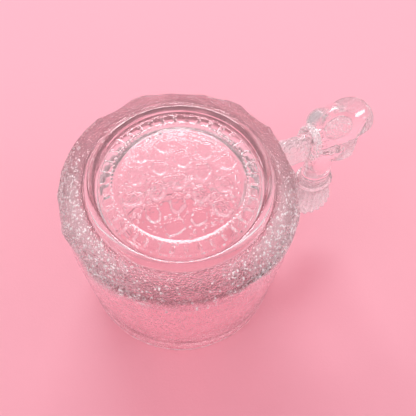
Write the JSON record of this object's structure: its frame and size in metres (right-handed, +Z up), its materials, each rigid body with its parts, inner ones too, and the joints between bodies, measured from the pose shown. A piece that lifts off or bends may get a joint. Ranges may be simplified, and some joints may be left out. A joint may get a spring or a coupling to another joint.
{
  "type": "glass mug",
  "caption": "Clear pressed-glass mug with a chipped-stone wall and heel, a foot ring round a pebbled base, and a handle of stacked stones; stored standing on its rim.",
  "frame": {"origin": "centre of the bounding box's bottom face, in the plane of the rim that the mug stands on as stored", "axes": "+Z up from the mouth to the foot ring, because the mug is stored upside down on its rim as pictured; +X from the mug's axis to the handle"},
  "size_m": [0.1334, 0.0902, 0.096],
  "materials": {
    "clear_glass": "smooth pressed glass",
    "stone_glass": "chipped and stippled pressed glass"
  },
  "bodies": {
    "root": {"lip_band": "clear_glass", "stone_wall": "stone_glass", "stone_heel": "stone_glass", "base_disc": "clear_glass", "foot_ring": "clear_glass", "base_relief": "clear_glass", "handle_dome_stone": "clear_glass", "handle_core_stone": "clear_glass", "handle_oval_boss": "clear_glass", "handle_side_stone": "clear_glass", "handle_ledge_stone": "clear_glass", "handle_fluted_collar": "clear_glass", "handle_upper_arm": "clear_glass", "handle_column": "clear_glass", "handle_cuff": "clear_glass", "handle_flared_foot": "stone_glass", "handle_lower_arm": "clear_glass"}
  },
  "joints": []
}
